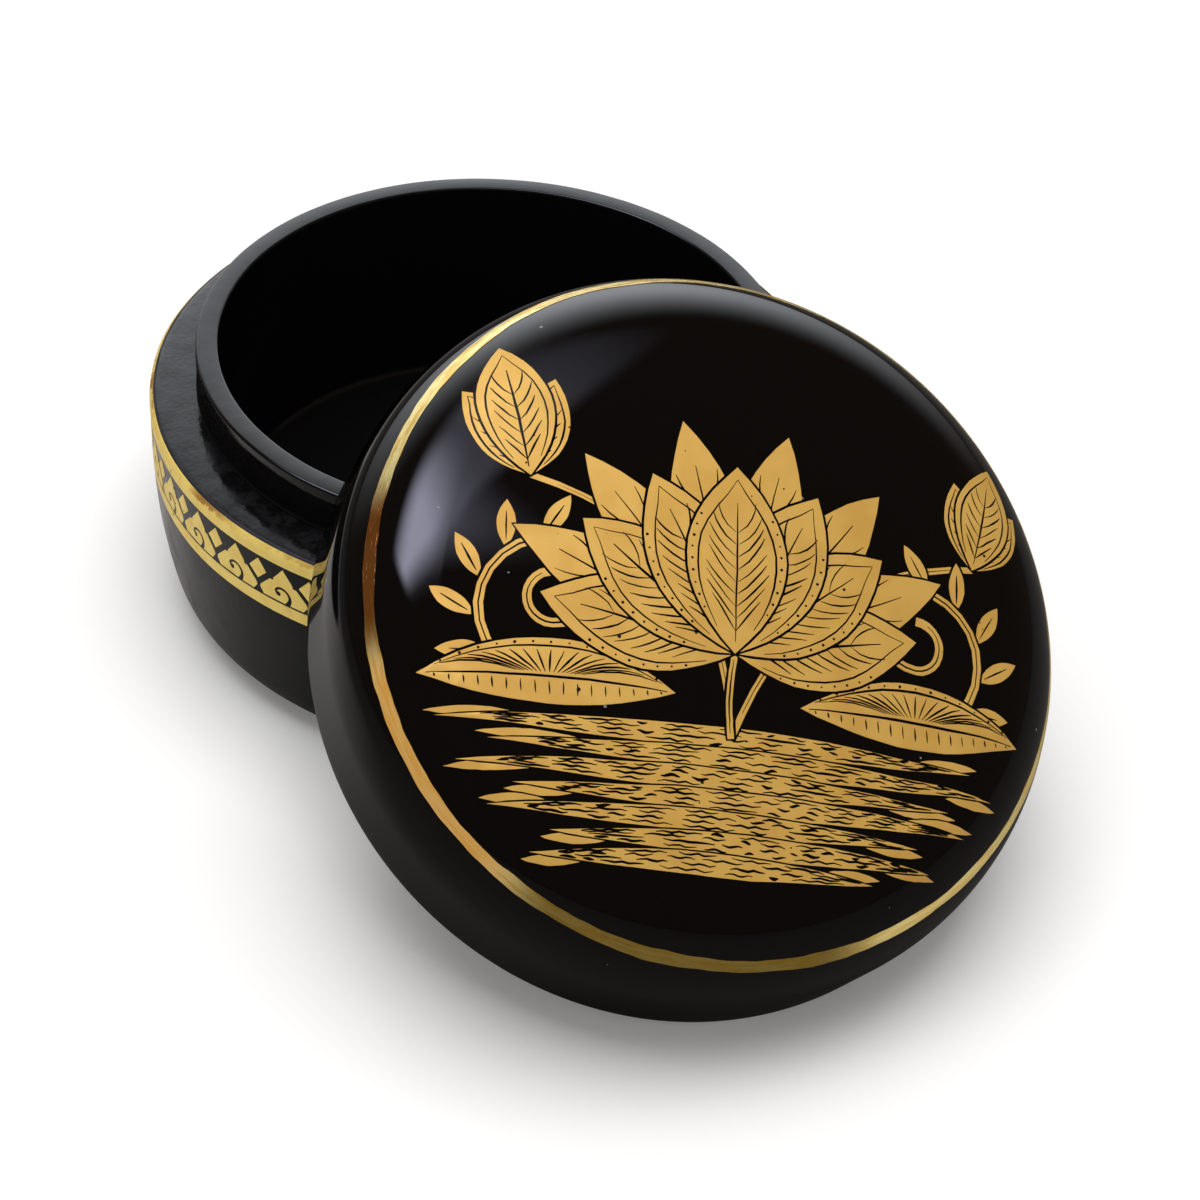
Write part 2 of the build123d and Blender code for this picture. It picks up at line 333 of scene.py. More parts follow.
studioSet = {
    "ambient": (0.32, 0.308, 0.30, 1),  # what the surroundings give to matt surfaces
    "room": (0.065, 0.052, 0.042, 1),  # unlit walls, as the gloss shows them
    "backdrop": (2.05, 2.13, 2.25, 1),  # pale sheet behind the box
    "backdropPlace": (21, 20),  # degrees from +Y towards +X, and above the table
    "backdropSize": (64, 41),
    # Ceiling and window lie on a level plane over the box; each edge goes from dark to lit
    "planeAxes": (0.894, 0.447),  # the way "along" goes on it, X and Y; "across" is square to it
    "planeSlant": 1.06,
    "horizon": 0.05,  # the plane ends here
    "alongEdge": (-0.60, -0.48),
    "acrossEdge": (-0.88, -0.42),
    "ceiling": (0.85, 0.85, 1.05, 1),  # lit ceiling over the box
    "ceilingEdges": ((0.62, 0.10), (0.095, 0.060), (0.32, 0.08)),  # along, across, slanted
    "window": (6.2, 6.2, 8.0, 1),  # window high on the left
    "windowEdges": ((0.10, -0.24), (0.25, 0.0)),  # along, slanted
}


def addWorld():
    world = bpy.data.worlds.new("studio")
    scene.world = world
    world.use_nodes = True
    tree = world.node_tree
    background = tree.nodes["Background"]
    coords = node(tree, "ShaderNodeTexCoord")
    split = node(tree, "ShaderNodeSeparateXYZ")
    feed(split, 0, coords.outputs["Generated"])
    east, north, high = split.outputs
    # The backdrop is an oval patch that fades towards its edge
    turned = (reckon(tree, "ARCTAN2", east, north), reckon(tree, "ARCSINE", high))
    shares = []
    for angle, place, size in zip(turned, studioSet["backdropPlace"], studioSet["backdropSize"]):
        off = reckon(tree, "SUBTRACT", angle, math.radians(place))
        share = reckon(tree, "DIVIDE", off, math.radians(size))
        shares.append(reckon(tree, "POWER", reckon(tree, "ABSOLUTE", share), 2.0))
    away = reckon(tree, "SQRT", plus(tree, *shares))
    light = blend(tree, ramp(tree, away, 1.0, 0.0), studioSet["room"], studioSet["backdrop"])
    above = reckon(tree, "MAXIMUM", high, studioSet["horizon"])
    onPlane = [reckon(tree, "DIVIDE", part, above) for part in (east, north)]
    way = studioSet["planeAxes"]
    along = plus(tree, *[times(tree, part, share) for part, share in zip(onPlane, way)])
    crossed = [times(tree, part, share) for part, share in zip(onPlane, way[::-1])]
    across = reckon(tree, "SUBTRACT", *crossed)
    slanted = reckon(tree, "SUBTRACT", across, times(tree, along, studioSet["planeSlant"]))
    shared = ((along, studioSet["alongEdge"]), (across, studioSet["acrossEdge"]))
    edges = zip((along, across, slanted), studioSet["ceilingEdges"])
    light = blend(tree, within(tree, *shared, *edges), light, studioSet["ceiling"])
    edges = zip((along, slanted), studioSet["windowEdges"])
    light = blend(tree, within(tree, *shared, *edges), light, studioSet["window"])
    # Matt surfaces get an even light, and the camera sees white
    path, seen, mirroredAgain = rays(tree)
    light = blend(tree, mirroredAgain, light, studioSet["room"])
    light = blend(tree, path["Is Glossy Ray"], studioSet["ambient"], light)
    feed(background, "Color", blend(tree, seen, light, (1, 1, 1, 1)))


lampSet = {
    # name: (place in metres, target, width, height, watts)
    "keyLamp": ((-0.04, 0.02, 1.20), (0, -0.03, 0.02), 1.0, 1.0, 12.5),
    "sideLamp": ((-0.90, -0.75, 0.55), (0, -0.03, 0.03), 0.7, 0.7, 1.1),
}


def addLamps():
    # The gloss doesn't show the lamps, because the window and backdrop stand for them there
    for name, (place, target, width, height, watts) in lampSet.items():
        turn = (Vector(place) - Vector(target)).to_track_quat("Z", "Y").to_euler()
        bpy.ops.object.light_add(type="AREA", location=place, rotation=turn)
        lamp = bpy.context.object
        lamp.name = name
        lamp.data.shape = "RECTANGLE"
        lamp.data.size = width
        lamp.data.size_y = height
        lamp.data.energy = watts
        lamp.visible_camera = False
        lamp.visible_glossy = False


addCamera()
addFloor()
addWorld()
addLamps()
scene.view_settings.view_transform = "Standard"
print("camera, floor and light made")


# Finishes

def makeSpecks():
    # Scattered dots: dust that lies on the lacquer, or pinholes in the gold
    group, start, end = newGroup("specks", {"Spacing": 400.0, "Size": 0.2, "Share": 0.3}, ["Mask"])
    coords = node(group, "ShaderNodeTexCoord")
    cells = node(group, "ShaderNodeTexVoronoi", feature="F1")
    feed(cells, "Vector", coords.outputs["Object"])
    feed(cells, "Scale", start.outputs["Spacing"])
    chosen = node(group, "ShaderNodeSeparateColor")
    feed(chosen, 0, cells.outputs["Color"])
    reach = times(group, start.outputs["Size"], chosen.outputs["Green"])
    near = reckon(group, "LESS_THAN", cells.outputs["Distance"], reach)
    picked = reckon(group, "LESS_THAN", chosen.outputs["Red"], start.outputs["Share"])
    feed(end, "Mask", times(group, near, picked))
    return group


def makeWaves():
    # Slow swell and fine pebbling of brushed lacquer: a height, and patches for its wear
    inputs = {"Swell": 60.0, "Pebbles": 900.0, "Pebbled": 0.06}
    group, start, end = newGroup("lacquerWaves", inputs, ["Height", "Patches"])
    coords = node(group, "ShaderNodeTexCoord")
    heights = []
    for label, detail in (("Swell", 1.5), ("Pebbles", 2.0)):
        texture = node(group, "ShaderNodeTexNoise")
        feed(texture, "Detail", detail)
        feed(texture, "Vector", coords.outputs["Object"])
        feed(texture, "Scale", start.outputs[label])
        heights.append(texture.outputs[0])
    fine = times(group, heights[1], start.outputs["Pebbled"])
    feed(end, "Height", plus(group, heights[0], fine))
    feed(end, "Patches", heights[0])
    return group


specksGroup = makeSpecks()
wavesGroup = makeWaves()
dustColour = (0.20, 0.19, 0.19, 1)
holeColour = (0.020, 0.014, 0.008, 1)
wornEdge = (0.40, 0.65)  # on the swell, from smooth to worn


def surfaceWaves(tree, swell, pebbles, pebbled):
    return placeGroup(tree, wavesGroup, Swell=swell, Pebbles=pebbles, Pebbled=pebbled).outputs


def scattered(tree, spacing, size, share):
    return placeGroup(tree, specksGroup, Spacing=spacing, Size=size, Share=share).outputs["Mask"]


def addBump(tree, surface, height, distance):
    lift = node(tree, "ShaderNodeBump")
    feed(lift, "Distance", distance * mm)
    feed(lift, "Height", height)
    feed(surface, "Normal", lift.outputs["Normal"])


def lacquer(name, look):
    material, tree, surface = newMaterial(name)
    waves = surfaceWaves(tree, look["swell"], look["pebbles"], look["pebbled"])
    addBump(tree, surface, waves["Height"], look["bump"])
    colour = look["colour"]
    if look.get("bloom"):
        # A grey bloom in patches on what faces up
        facing = node(tree, "ShaderNodeNewGeometry")
        split = node(tree, "ShaderNodeSeparateXYZ")
        feed(split, 0, facing.outputs["Normal"])
        patchy = surfaceWaves(tree, *look["bloomWaves"])
        edges = ((split.outputs["Z"], look["bloomFacing"]), (patchy["Height"], look["bloomEdge"]))
        colour = blend(tree, within(tree, *edges), colour, look["bloom"])
    dust = scattered(tree, look["dust"], look["dustSize"], look["dustShare"])
    feed(surface, "Base Color", blend(tree, dust, colour, dustColour))
    feed(surface, "Specular IOR Level", look["shine"])
    worn = ramp(tree, waves["Patches"], *wornEdge, look["roughness"], look["worn"], "LINEAR")
    if look.get("dull"):
        # Hands have rubbed the rolled outer corner of the ledge dull
        place = objectPlace(tree)
        squares = [times(tree, place[axis], place[axis]) for axis in "XY"]
        reach = reckon(tree, "SQRT", plus(tree, *squares))
        dull = within(tree, (reach, look["dullReach"]), (place["Z"], look["dullHeight"]))
        worn = plus(tree, worn, times(tree, dull, look["dull"]))
    feed(surface, "Roughness", worn)
    return material


# Textures have their scale per metre, bump is in mm, and edges go from none to all
lidLook = {
    "colour": (0.0016, 0.0012, 0.0010, 1), "roughness": 0.03, "worn": 0.05,
    "swell": 45, "pebbles": 700, "pebbled": 0.02, "bump": 0.020, "shine": 0.5,
    "dust": 330, "dustSize": 0.10, "dustShare": 0.10,
}
boxLook = {
    "colour": (0.0030, 0.0030, 0.0031, 1), "roughness": 0.07, "worn": 0.24,
    "swell": 170, "pebbles": 1100, "pebbled": 0.30, "bump": 0.10, "shine": 0.44,
    "bloom": (0.009, 0.009, 0.010, 1), "bloomWaves": (260, 1100, 0.8),
    "bloomFacing": (0.80, 0.97), "bloomEdge": (0.80, 1.08),
    "dust": 900, "dustSize": 0.2, "dustShare": 0.03,
    "dull": 0.45,  # added to the roughness, outside this reach and above this height
    "dullReach": ((bodyRadius - 1.5) * mm, (bodyRadius - 1.1) * mm),
    "dullHeight": ((shoulderHeight - 2.0) * mm, (shoulderHeight - 1.6) * mm),
}
insideLook = {
    "colour": (0.0032, 0.0032, 0.0032, 1), "roughness": 0.10, "worn": 0.17,
    "swell": 150, "pebbles": 1700, "pebbled": 0.12, "bump": 0.07, "shine": 0.5,
    "dust": 900, "dustSize": 0.2, "dustShare": 0.0,
}


def sector(tree, around, angle, none, full):
    # 1 within full degrees of this direction round the lid, falling to 0 at none degrees
    way = node(tree, "ShaderNodeVectorMath", operation="DOT_PRODUCT")
    feed(way, 0, around)
    turn = math.radians(angle)
    feed(way, 1, (math.cos(turn) / streaksRound, math.sin(turn) / streaksRound, 0))
    return ramp(tree, way.outputs["Value"], math.cos(math.radians(none)), math.cos(math.radians(full)))


def gold(name, look):
    material, tree, surface = newMaterial(name)
    metal = look["metallic"]
    finer = look["mottle"] * goldSurface["finer"]
    waves = surfaceWaves(tree, look["mottle"], finer, goldSurface["pebbled"])
    mottled = ramp(tree, waves["Patches"], *goldSurface["mottleEdge"])
    height = waves["Height"]
    if look.get("brushed"):
        # Streaks of the brush run along the line
        along = node(tree, "ShaderNodeAttribute", attribute_name="brushed")
        streaks = node(tree, "ShaderNodeTexNoise")
        feed(streaks, "Scale", 1.0)
        feed(streaks, "Detail", 3.0)
        feed(streaks, "Vector", along.outputs["Vector"])
        mottled = ramp(tree, streaks.outputs[0], *look["streakEdge"])
        height = plus(tree, height, times(tree, streaks.outputs[0], look["brushed"]))
    colour = blend(tree, mottled, look["colour"], look["deep"])
    holes = scattered(tree, look["holes"], look["holeSize"], look["holeShare"])
    colour = blend(tree, holes, colour, holeColour)
    if look.get("ground"):
        # Rubbed through to a brown ground near the top edge, here and there
        ragged = times(tree, waves["Height"], look["ragged"])
        rise = plus(tree, objectPlace(tree)["Z"], ragged)
        stretches = placeGroup(tree, wavesGroup, Swell=look["rubbedSwell"]).outputs["Patches"]
        rubbed = within(tree, (rise, look["rubbedHeight"]), (stretches, look["rubbedEdge"]))
        colour = blend(tree, rubbed, colour, look["ground"])
    for zone in look.get("paintedReflections", []):
        # Stretches round the line, set by angle, where colour and metallic change: painted reflection,
        # darker and browner on some stretches, paler on others
        share = sector(tree, along.outputs["Vector"], *zone["where"])
        tint = times(tree, share, zone["tinted"])
        colour = blend(tree, tint, colour, zone["colour"])
        metal = plus(tree, metal, times(tree, share, zone["metal"]))
    feed(surface, "Base Color", colour)
    feed(surface, "Metallic", metal)
    smooth = look["roughness"]
    worn = ramp(tree, waves["Patches"], *wornEdge, smooth, smooth + goldSurface["rougher"], "LINEAR")
    feed(surface, "Roughness", worn)
    addBump(tree, surface, height, look["bump"])
    return material


goldSurface = {
    "finer": 7,  # scale of the pebbles for one of the mottling
    "pebbled": 0.5,
    "mottleEdge": (0.35, 0.70),
    "rougher": 0.08,  # where it is worn
}
streaksRound = 9.0  # how fast the streaks of the lid's line change along it
streaksAcross = 2.2  # and from its middle to its edge
bandLook = {
    "colour": (1.0, 0.75, 0.20, 1), "deep": (0.94, 0.67, 0.155, 1), "metallic": 0.22, "roughness": 0.38,
    "mottle": 350, "bump": 0.02, "holes": 800, "holeSize": 0.25, "holeShare": 0.05,
    "ground": (0.42, 0.20, 0.04, 1), "ragged": 2.4 * mm,
    "rubbedHeight": ((shoulderHeight + 0.55) * mm, (shoulderHeight + 1.0) * mm),  # ragged part added
    "rubbedSwell": 38.0, "rubbedEdge": (0.44, 0.60),
}
lineLook = {
    "colour": (1.0, 0.84, 0.36, 1), "deep": (0.88, 0.54, 0.12, 1), "metallic": 0.60, "roughness": 0.09,
    "mottle": 90, "bump": 0.10, "holes": 900, "holeSize": 0.2, "holeShare": 0.04,
    "brushed": 1.8, "streakEdge": (0.42, 0.60),
    # painted reflection round the line: darker and paler stretches by angle
    # where: middle of the stretch, how far it reaches and how far it is full, degrees round the lid
    # tinted: share of the colour; metal: added to metallic
    "paintedReflections": [
        {"where": (157, 17, 7), "colour": (0.20, 0.05, 0.004, 1), "tinted": 0.95, "metal": 0.0},
        {"where": (192, 24, 14), "colour": (0.88, 0.43, 0.085, 1), "tinted": 0.75, "metal": -0.28},
        {"where": (243, 34, 22), "colour": (0.88, 0.54, 0.06, 1), "tinted": 0.65, "metal": 0.33},
        {"where": (305, 40, 26), "colour": (1.0, 0.78, 0.28, 1), "tinted": 0.50, "metal": -0.42},
    ],
}
pictureLook = {
    "colour": (0.80, 0.48, 0.11, 1), "deep": (0.72, 0.41, 0.085, 1), "metallic": 0.30, "roughness": 0.42,
    "mottle": 150, "bump": 0.01, "holes": 700, "holeSize": 0.25, "holeShare": 0.04,
}

lidLacquer = lacquer("glossBlackLacquer", lidLook)
boxLacquer = lacquer("wornBlackLacquer", boxLook)
insideLacquer = lacquer("satinBlackLacquer", insideLook)
bandGold = gold("bandGold", bandLook)
lineGold = gold("lineGold", lineLook)
pictureGold = gold("pictureGold", pictureLook)
print("finishes made")


# Box wall

boxSet = {  # mm
    "shoulderEdge": 1.6,  # rolled outer corner of the ledge
    "shoulderSag": 0.3,  # how much lower the ledge lies at that corner than at the neck
    "uprightFrom": 29.0,  # the side curves in below this
    "sideCurve": 100.0,
    "footCorner": 10.5,
    "footLand": 2.3,
    "boardStep": 4.0,
    "hiddenDepth": 2.0,  # where the profile starts, behind the neck
    "hollows": (0.22, 26),  # depth and spacing of those in the side
}


def footFlat():
    # How far the curved side turns, and the radius of the flat foot
    curve, corner = boxSet["sideCurve"], boxSet["footCorner"]
    turn = math.asin((boxSet["uprightFrom"] - corner) / (curve - corner))
    return turn, bodyRadius - curve + (curve - corner) * math.cos(turn)


def boxProfile():
    turn, flat = footFlat()
    drop = math.degrees(turn)
    curve, corner, upright = boxSet["sideCurve"], boxSet["footCorner"], boxSet["uprightFrom"]
    edge = boxSet["shoulderEdge"]
    inner = flat - boxSet["footLand"]
    side = arcPoints((flat, corner), corner, -90, 90 - drop, 16)
    side += arcPoints((bodyRadius - curve, upright), curve, -drop, drop, 16)[1:]
    edgeMiddle = shoulderHeight - boxSet["shoulderSag"] - edge
    rise = edgeMiddle - upright
    side += [(bodyRadius, upright + rise * step / 6) for step in range(1, 6)]
    side += arcPoints((bodyRadius - edge, edgeMiddle), edge, 0, 85, 8)
    ledge, sag = side[-1][0] - neckRadius, side[-1][1] - shoulderHeight
    for step in range(1, 13):
        share = 1 - step / 12
        side.append((neckRadius + ledge * share, shoulderHeight + sag * share**2))
    board = boxSet["boardStep"]
    top = (neckRadius, shoulderHeight - boxSet["hiddenDepth"])
    return [top, (neckRadius, board), (inner, board), (inner, 0)] + side + [top]


boxWall = turnOnLathe("boxWall", boxProfile())
layByHand(boxWall, *boxSet["hollows"])
handIn(boxWall, "box", "lacquer_box", boxLacquer, "box_wall")


# Neck and bottom board

neckSet = {  # mm
    "wall": 3.9,
    "edge": 0.5,
    "bead": 0.18,  # swelling of lacquer round the neck's foot
    "beadHeight": 0.15,  # its middle, above the ledge
    "beadTop": 0.7,
    "ridge": 0.05,  # turned line under the rim
    "ridgeDrop": 1.9,
    "ridgeHalf": 0.4,
    "hollows": ((0.12, 17), (0.07, 5)),
}


def neckProfile():
    outer = neckRadius
    inner = neckRadius - neckSet["wall"]
    edge = neckSet["edge"]
    foot = shoulderHeight
    points = [(outer, boardTop), (outer, foot - 1)]
    points += arcPoints((outer, foot + neckSet["beadHeight"]), neckSet["bead"], -60, 120, 8)
    line = neckTop - neckSet["ridgeDrop"]
    low, high = foot + neckSet["beadTop"], line - neckSet["ridgeHalf"]
    points += [(outer, low + (high - low) * step / 10) for step in range(11)]
    points += [(outer + neckSet["ridge"], line), (outer, line + neckSet["ridgeHalf"])]
    points += arcPoints((outer - edge, neckTop - edge), edge, 0, 90, 6)
    points += arcPoints((inner + edge, neckTop - edge), edge, 90, 90, 6)
    points += [(inner, boardTop + (neckTop - edge - boardTop) * step / 12) for step in range(11, -1, -1)]
    return points + [points[0]]


neckRing = turnOnLathe("neckRing", neckProfile())
for hollows in neckSet["hollows"]:
    layByHand(neckRing, *hollows)
handIn(neckRing, "box", "lacquer_inside", insideLacquer, "neck_ring")


boardSet = {  # mm
    "coving": 1.6,  # lacquer drawn up where the wall meets the board
    "underNeck": 0.5,  # how far the coving reaches into the neck
    "gap": 0.05,  # between board and wall
}


def boardProfile():
    low = footFlat()[1] - boxSet["footLand"]
    inner = neckRadius - neckSet["wall"]
    outer = neckRadius - boardSet["gap"]
    hidden = inner + boardSet["underNeck"]
    coving, board = boardSet["coving"], boxSet["boardStep"]
    top = [(0, boardTop)] + arcPoints((inner - coving, boardTop + coving), coving, -90, 90, 8)
    top += [(hidden, boardTop + coving), (hidden, boardTop), (outer, boardTop)]
    return top + [(outer, board), (low, board), (low, 0), (0, 0)]


bottomBoard = turnOnLathe("bottomBoard", boardProfile())
handIn(bottomBoard, "box", "lacquer_inside", insideLacquer, "bottom_board")


# Lid

lidSet = {  # mm
    "radius": bodyRadius - 0.52,
    "bore": neckRadius + 0.5,
    "height": 36.38,
    "corner": 18.6,
    "cornerHeight": 13.6,
    "innerCorner": 10.6,
    "crown": 7.8,
    "rimOuterEdge": 1.0,
    "rimInnerEdge": 0.8,
}


def domeArcs(radius, corner, cornerHeight, height):
    # Centre and radius of the dome, and the slope where it meets the corner, in degrees
    across = radius - corner
    rise = cornerHeight - height
    dome = (corner**2 - across**2 - rise**2) / (2 * (rise + corner))
    return across, dome, math.degrees(math.asin(across / (dome - corner)))


def lidProfile():
    radius, height, bore = lidSet["radius"], lidSet["height"], lidSet["bore"]
    corner, innerCorner, cornerHeight = lidSet["corner"], lidSet["innerCorner"], lidSet["cornerHeight"]
    outerEdge, innerEdge = lidSet["rimOuterEdge"], lidSet["rimInnerEdge"]
    across, dome, slope = domeArcs(radius, corner, cornerHeight, height)
    points = arcPoints((bore + innerEdge, innerEdge), innerEdge, 180, 90, 5)
    points += arcPoints((radius - outerEdge, outerEdge), outerEdge, -90, 90, 6)
    points += [(radius, outerEdge + (cornerHeight - outerEdge) * step / 8) for step in range(1, 8)]
    points += arcPoints((across, cornerHeight), corner, 0, 90 - slope, 28)
    points += arcPoints((0, height - dome), dome, 90 - slope, slope, 20)[1:]
    inside = height - lidSet["crown"]
    across, dome, slope = domeArcs(bore, innerCorner, cornerHeight, inside)
    points += arcPoints((0, inside - dome), dome, 90, -slope, 10)
    points += arcPoints((across, cornerHeight), innerCorner, 90 - slope, slope - 90, 14)[1:]
    return points + [(bore, innerEdge)]


lid = turnOnLathe("lid", lidProfile())
moveMesh(lid, lidPlace)
handIn(lid, "lid", "lacquer_lid", lidLacquer, "lid_hoop", "lid_crown")
print("turned pieces made")


# Gold shapes are drawn flat, as outlines that hide each other, then laid on their surface

def smoothPath(points, steps):
    # A smooth curve through the points
    line = []
    ends = [points[0]] + list(points) + [points[-1]]
    for index in range(1, len(ends) - 2):
        p0, p1, p2, p3 = [Vector(point) for point in ends[index - 1:index + 3]]
        for step in range(steps):
            t = step / steps
            bend = 2 * p1 + (p2 - p0) * t + (2 * p0 - 5 * p1 + 4 * p2 - p3) * t * t
            line.append((bend + (3 * p1 - p0 - 3 * p2 + p3) * t**3) / 2)
    return line + [Vector(points[-1])]


def strokeOutline(line, startWidth, middleWidth, endWidth):
    # Outline of a brush stroke whose width changes along its line
    left, right = [], []
    last = len(line) - 1
    for index, point in enumerate(line):
        ahead = line[min(index + 1, last)] - line[max(index - 1, 0)]
        ahead = ahead.normalized() if ahead.length > 0 else Vector((1, 0))
        side = Vector((-ahead.y, ahead.x))
        t = index / last
        outer = startWidth if t < 0.5 else endWidth
        width = outer + (middleWidth - outer) * math.sin(math.pi * t)
        left.append(point + side * width / 2)
        right.append(point - side * width / 2)
    return left + right[::-1]


def area(outline):
    # Above zero where the outline runs counterclockwise
    return sum(a[0] * b[1] - b[0] * a[1] for a, b in zip(outline, outline[1:] + outline[:1])) / 2


def grown(outline, width):
    # The outline moved outwards, with short points
    count = len(outline)
    turn = 1 if area(outline) > 0 else -1
    moved = []
    for index in range(count):
        before = (outline[index] - outline[index - 1]).normalized()
        after = (outline[(index + 1) % count] - outline[index]).normalized()
        outward = Vector((before.y + after.y, -before.x - after.x)) * turn
        if outward.length < 0.2:
            outward = before - after
        outward.normalize()
        moved.append(outline[index] + outward * width)
    return moved


def layGold(name, shapes, gridStep, place):
    # shapes: (outline, isGold), from back to front; what is on top decides whether a spot is gold
    points, faces, kinds = [], [], []
    for outline, isGold in shapes:
        start = len(points)
        points += [Vector(point[:2]) for point in (outline if area(outline) > 0 else outline[::-1])]
        faces.append(list(range(start, len(points))))
        kinds.append(isGold)
    low = [min(point[axis] for point in points) for axis in (0, 1)]
    high = [max(point[axis] for point in points) for axis in (0, 1)]
    across = int((high[0] - low[0]) / gridStep) + 1
    upwards = int((high[1] - low[1]) / gridStep) + 1
    for column in range(1, across):
        for row in range(1, upwards):
            shifted = column + 0.5 * (row % 2)
            points.append(Vector((low[0] + shifted * gridStep, low[1] + row * gridStep)))
    made = geometry.delaunay_2d_cdt(points, [], faces, 0, goldSet["sameSpot"], True)
    corners, triangles, owners = made[0], made[2], made[5]
    kept = [face for face, own in zip(triangles, owners) if own and kinds[max(own)]]
    used = sorted({corner for face in kept for corner in face})
    number = {corner: index for index, corner in enumerate(used)}
    mesh = bpy.data.meshes.new(name)
    spots = [place(*corners[corner]) for corner in used]
    mesh.from_pydata(spots, [], [[number[corner] for corner in face] for face in kept])
    piece = bpy.data.objects.new(name, mesh)
    scene.collection.objects.link(piece)
    pickOnly(piece)
    bpy.ops.object.modifier_add(type="SOLIDIFY")
    modifier = piece.modifiers[-1]
    modifier.thickness = goldSet["thickness"] * mm
    modifier.offset = 1
    bpy.ops.object.modifier_apply(modifier=modifier.name)
    bpy.ops.object.shade_smooth_by_angle(angle=smoothAngle)
    return piece


goldSet = {  # mm
    "lift": 0.02,  # how far the gold's underside stands off the lacquer
    "thickness": 0.05,
    "sameSpot": 0.0001,  # points of a drawing that are nearer than this are one
}


# Ornament round the box

bandSet = {  # mm
    "topLineDrop": 0.6,
    "topLineWidth": 2.6,
    "tipGap": 0.6,
    "petalHeight": 7.1,
    "petalCount": 36,
    "petalGap": 0.65,
    "footGap": 0.4,
    "lowLineWidth": 2.3,
    "grid": 0.9,  # of the triangles that bend the gold round the wall
}
lineSteps = 360  # how finely the gold lines are turned
pitch = 2 * math.pi * bodyRadius / bandSet["petalCount"]
petalHalf = (pitch - bandSet["petalGap"]) / 2
topLineTop = shoulderHeight - bandSet["topLineDrop"]
petalFoot = topLineTop - bandSet["topLineWidth"] - bandSet["tipGap"] - bandSet["petalHeight"]
lowLineTop = petalFoot - bandSet["footGap"]
# Drawn from the middle of the petal's foot: the right side down from the tip, and the curl
petalSide = [
    (0, 7.1), (0.75, 6.1), (1.95, 4.55), (2.0, 4.0), (2.75, 3.95), (3.75, 2.85),
    (petalHalf - 0.15, 1.75), (petalHalf, 1.15), (4.35, 0.35), (4.15, 0),
]
curl = [
    (0.70, -0.5), (1.15, 0.35), (1.42, 1.25), (1.15, 2.15),
    (0.35, 2.8), (-0.75, 2.85), (-1.5, 2.2), (-1.35, 1.55),
]
curlWidths = (1.1, 0.55, 0.42)  # at its foot, halfway and at its end
lozenge = [(0, 7.05), (1.75, 4.75), (-0.1, 2.75), (-2.0, 4.65)]


def onWall(along, height):
    # A point of the flat drawing on the side of the box
    edge, curve = boxSet["shoulderEdge"], boxSet["sideCurve"]
    out = bodyRadius
    over = height - (shoulderHeight - boxSet["shoulderSag"] - edge)
    if over > 0:
        out = bodyRadius - edge + math.sqrt(max(edge**2 - over**2, 0))
    below = boxSet["uprightFrom"] - height
    if below > 0:
        out = bodyRadius - curve + math.sqrt(curve**2 - below**2)
    out += goldSet["lift"]
    angle = along / bodyRadius
    return (out * math.cos(angle) * mm, out * math.sin(angle) * mm, height * mm)


def petalShapes(middle):
    # One flame-headed petal over two round cheeks, with a curl left black in it
    otherSide = [(-x, y) for x, y in petalSide[::-1]]
    outline = [Vector((middle + x, petalFoot + y)) for x, y in petalSide + otherSide[:-1]]
    line = smoothPath([(middle + x, petalFoot + y) for x, y in curl], 4)
    shapes = [(outline, True), (strokeOutline(line, *curlWidths), False)]
    eye = arcPoints((middle - 1.0, petalFoot + 1.6), 0.52, 0, 330, 11)
    return shapes + [([Vector(point) for point in eye], False)]


def lozengeShape(middle):
    return ([Vector((middle + x, petalFoot + y)) for x, y in lozenge], True)


def bandShapes():
    shapes = []
    for step in range(bandSet["petalCount"]):
        middle = pitch * step
        shapes += petalShapes(middle)
        shapes.append(lozengeShape(middle + pitch / 2))
    return shapes


ornament = layGold("ornament", bandShapes(), bandSet["grid"], onWall)
layByHand(ornament, *boxSet["hollows"])
handIn(ornament, "box", "gold_band", bandGold, "band_ornament")


def roundLine(name, low, high, rows=4):
    # Gold line round the box between two heights
    under = [onWall(0, low + (high - low) * row / rows) for row in range(rows + 1)]
    under = [(point[0] / mm, point[2] / mm) for point in under]
    over = [(x + goldSet["thickness"], z) for x, z in under[::-1]]
    line = turnOnLathe(name, under + over + [under[0]], lineSteps)
    layByHand(line, *boxSet["hollows"])
    return line


topLine = roundLine("topLine", topLineTop - bandSet["topLineWidth"], topLineTop)
handIn(topLine, "box", "gold_band", bandGold, "band_top_line")
lowLine = roundLine("lowLine", lowLineTop - bandSet["lowLineWidth"], lowLineTop)
handIn(lowLine, "box", "gold_band", bandGold, "band_low_line")


# Gold line and picture on the lid

def onLid(x, y):
    # A point of the flat drawing on the top of the lid
    corner, cornerHeight = lidSet["corner"], lidSet["cornerHeight"]
    across, dome, slope = domeArcs(lidSet["radius"], corner, cornerHeight, lidSet["height"])
    reach = math.hypot(x, y)
    if reach < across + corner * math.sin(math.radians(slope)):
        height = lidSet["height"] - dome + math.sqrt(dome**2 - reach**2)
    else:
        height = cornerHeight + math.sqrt(max(corner**2 - (reach - across)**2, 0))
    return lidPlace @ Vector((x * mm, y * mm, (height + goldSet["lift"]) * mm))


lineSet = {
    "slope": 52.5,  # degrees from the lid's axis to the middle of the line
    "width": 2.3,
    "wander": 0.45,  # how far its edges stray, mm
    "wanderRound": 5,  # how fast that changes along it
    "edgesApart": 4,  # or one would follow the other
    "strays": ((-27, 2.7), (148, -1.1)),  # where the whole line runs out or in, degrees, and how far, mm
    "strayPower": 5,  # higher for shorter stretches
}


